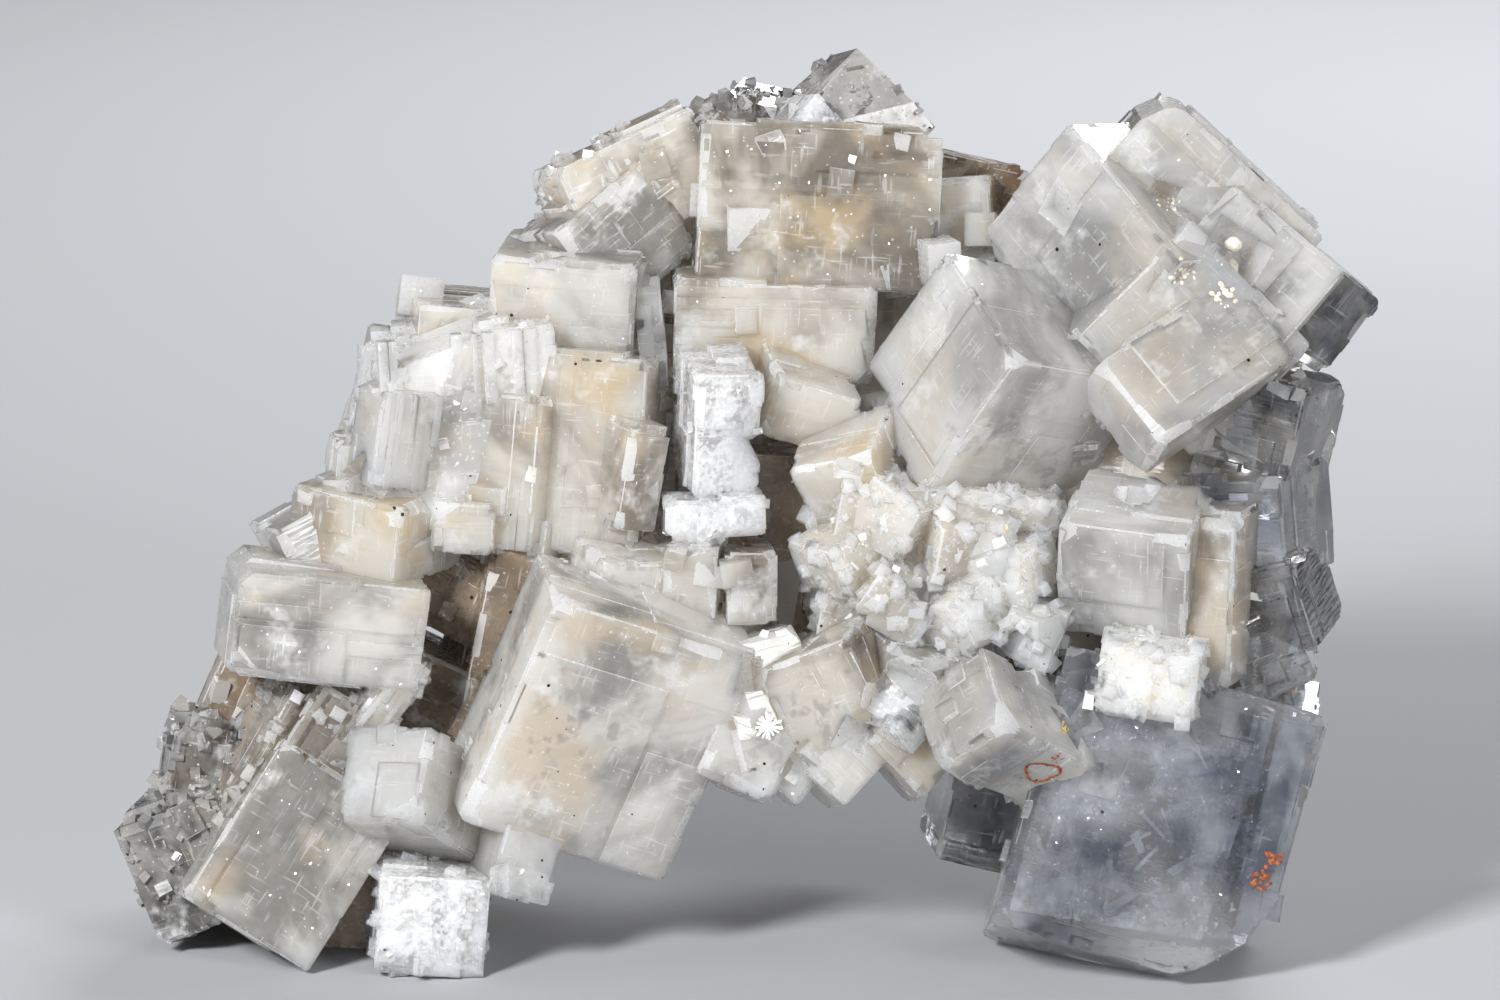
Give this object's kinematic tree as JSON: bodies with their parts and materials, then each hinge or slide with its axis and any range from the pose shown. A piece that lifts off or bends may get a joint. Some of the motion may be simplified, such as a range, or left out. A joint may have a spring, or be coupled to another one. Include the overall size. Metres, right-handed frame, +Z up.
{
  "type": "halite crystal cluster",
  "caption": "Intergrown milky to clear halite cubes with stepped faces, broken edges, small rust marks and clay pellets, standing on flat cut feet.",
  "frame": {"origin": "on the floor under the middle of the cluster's bounding box", "axes": "+Z up, +X to the right along the cluster's length, +Y away from the showy front"},
  "size_m": [0.1412, 0.0844, 0.0967],
  "materials": {
    "halite": "milky to clear salt, glassy cleavage faces with frosted and striated patches",
    "clay": "dry matt clay"
  },
  "bodies": {
    "root": {"halite_cluster": "halite", "clay_pellet_upper": "clay", "clay_pellet_lower": "clay"}
  },
  "joints": []
}
